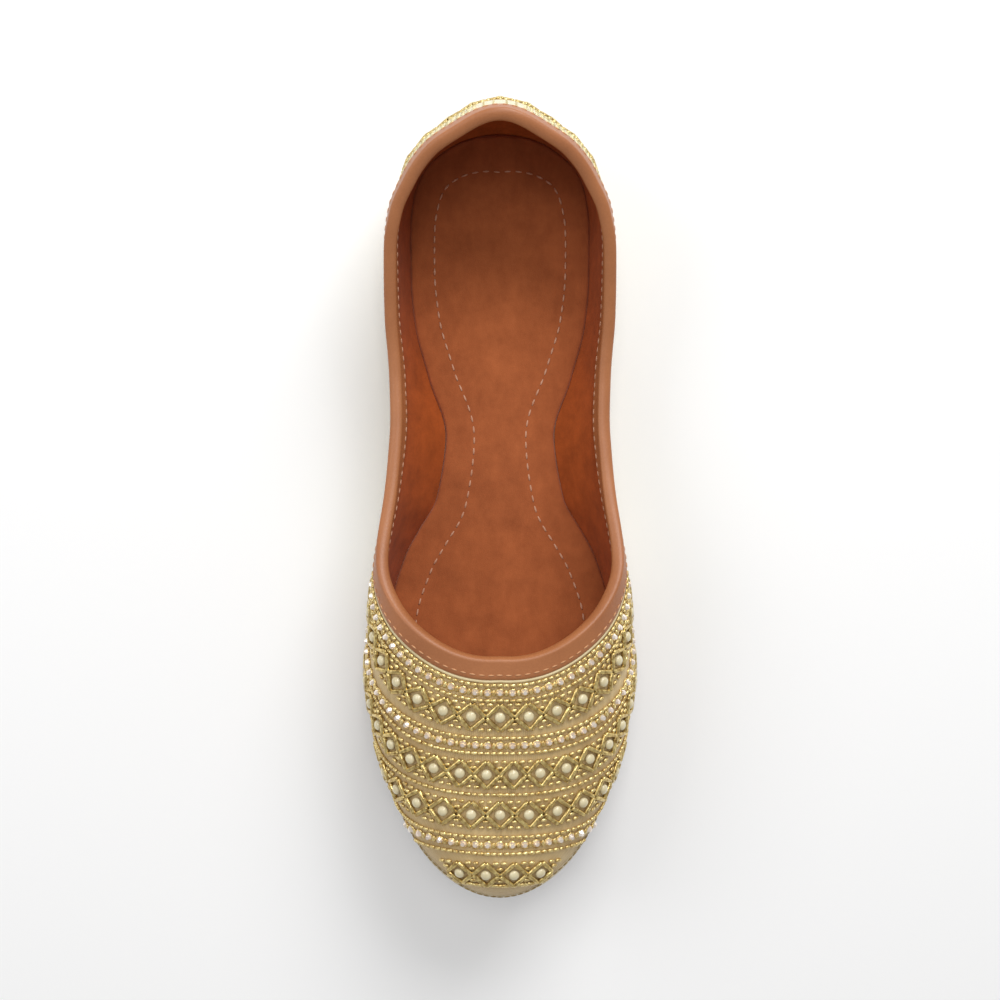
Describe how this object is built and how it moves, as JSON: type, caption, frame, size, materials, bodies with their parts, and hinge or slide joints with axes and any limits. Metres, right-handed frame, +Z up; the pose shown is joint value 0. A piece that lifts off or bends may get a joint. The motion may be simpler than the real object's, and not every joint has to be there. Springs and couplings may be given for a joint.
{
  "type": "mojari shoe",
  "caption": "Flat slip-on mojari with an upturned toe, leather collar binding, toe rand, suede insole and ribbed sole.",
  "frame": {"origin": "middle of the shoe's length and width, on the floor it stands on", "axes": "+X towards the toe, +Y towards the wearer's left, +Z up"},
  "size_m": [0.2516, 0.0846, 0.0644],
  "materials": {
    "upper_fabric": "woven satin with gold thread and beads",
    "binding_leather": "smooth matt",
    "rand_leather": "metallic grain",
    "insole_suede": "suede",
    "sole_leather": "smooth edge, satin",
    "sole_rubber": "matt, ribbed"
  },
  "bodies": {
    "root": {"upper": "upper_fabric", "collar_binding": "binding_leather", "toe_rand": "rand_leather", "insole": "insole_suede", "sole": "sole_leather", "heel_pad": "sole_rubber", "tread": "sole_rubber"}
  },
  "joints": []
}
